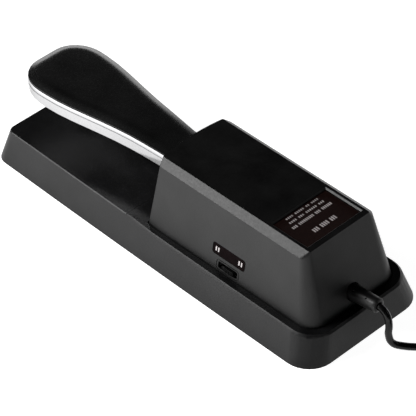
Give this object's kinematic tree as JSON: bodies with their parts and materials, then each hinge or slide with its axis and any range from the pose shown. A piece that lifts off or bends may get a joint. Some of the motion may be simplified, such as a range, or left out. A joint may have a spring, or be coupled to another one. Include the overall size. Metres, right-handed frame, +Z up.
{
  "type": "sustain pedal",
  "caption": "Piano-style sustain foot pedal: weighted base, sprung chrome lever with black tread, contact box with polarity slide, fixed cord and phone plug.",
  "frame": {"origin": "bottom centre of the body, on the floor under the rubber mat", "axes": "+Z up, Y along the length with the foot end at -Y and the cord at +Y, the polarity slide on the +X side"},
  "size_m": [0.1338, 0.3838, 0.0591],
  "materials": {
    "black_plastic": "fine moulded texture, black",
    "board_green": "circuit board",
    "bright_steel": "bright steel",
    "chrome": "polished chrome plate on steel",
    "cord_rubber": "soft black jacket",
    "grey_plastic": "grey moulding",
    "knob_black": "black moulding",
    "label_brown": "dark printed film",
    "nickel": "nickel plated",
    "nylon_white": "natural nylon",
    "plug_black": "black moulding",
    "rubber": "matte black rubber",
    "satin_black": "satin black moulding",
    "screw_steel": "dark screw steel",
    "spring_steel": "spring wire",
    "switch_black": "black moulding",
    "switch_red": "red moulding",
    "tread_black": "satin black",
    "wire_black": "black insulation",
    "wire_red": "red insulation",
    "zinc_steel": "zinc plated sheet"
  },
  "bodies": {
    "base": {"axle_clip_left": "bright_steel", "axle_clip_right": "bright_steel", "ballast_plate": "zinc_steel", "base_casing": "black_plastic", "base_screw_1": "screw_steel", "base_screw_2": "screw_steel", "base_screw_3": "screw_steel", "base_screw_4": "screw_steel", "base_screw_5": "screw_steel", "base_screw_6": "screw_steel", "board_screw_1": "screw_steel", "board_screw_2": "screw_steel", "board_wire": "wire_red", "bracket_screw_1": "screw_steel", "bracket_screw_2": "screw_steel", "bracket_screw_3": "screw_steel", "bracket_screw_4": "screw_steel", "cable_strain_relief": "cord_rubber", "cord_coil": "cord_rubber", "cord_tail": "cord_rubber", "cord_tube": "cord_rubber", "down_stop_pad": "rubber", "hinge_bracket": "zinc_steel", "housing_screw_1": "screw_steel", "housing_screw_2": "screw_steel", "housing_screw_3": "screw_steel", "housing_screw_4": "screw_steel", "microswitch_body": "switch_black", "pivot_axle": "bright_steel", "plug_barrel": "plug_black", "plug_boot": "cord_rubber", "plug_insulator": "nylon_white", "plug_shank": "nickel", "plug_tip": "nickel", "polarity_switch_body": "bright_steel", "rating_label": "label_brown", "return_spring": "spring_steel", "rubber_mat": "rubber", "spring_seat": "nylon_white", "switch_board": "board_green", "switch_holder": "grey_plastic", "switch_legend_plate": "label_brown", "switch_wire": "wire_black", "top_housing": "satin_black", "up_stop_pad": "rubber"},
    "pedal": {"pedal_lever": "chrome", "tread_cap": "tread_black", "pivot_bush_left": "nylon_white", "pivot_bush_right": "nylon_white"},
    "plunger": {"microswitch_plunger": "switch_red"},
    "knob": {"polarity_knob": "knob_black"}
  },
  "joints": [
    {"name": "pedal_hinge", "type": "hinge", "parent": "base", "child": "pedal", "pos_m": [0, 0.04, 0.042], "axis": [1, 0, 0], "range_deg": [0, 6.5], "stiffness_Nm_per_rad": 6, "springref_deg": -11.46, "deforming": ["return_spring"]},
    {"name": "plunger_slide", "type": "slide", "parent": "base", "child": "plunger", "axis": [0, 0, -1], "range_m": [0, 0.0019]},
    {"name": "polarity_slide", "type": "slide", "parent": "base", "child": "knob", "axis": [0, 1, 0], "range_m": [-0.004, 0]}
  ],
  "couplings": [
    {"joint": "plunger_slide", "follows": "pedal_hinge", "m_per_rad": 0.015}
  ]
}
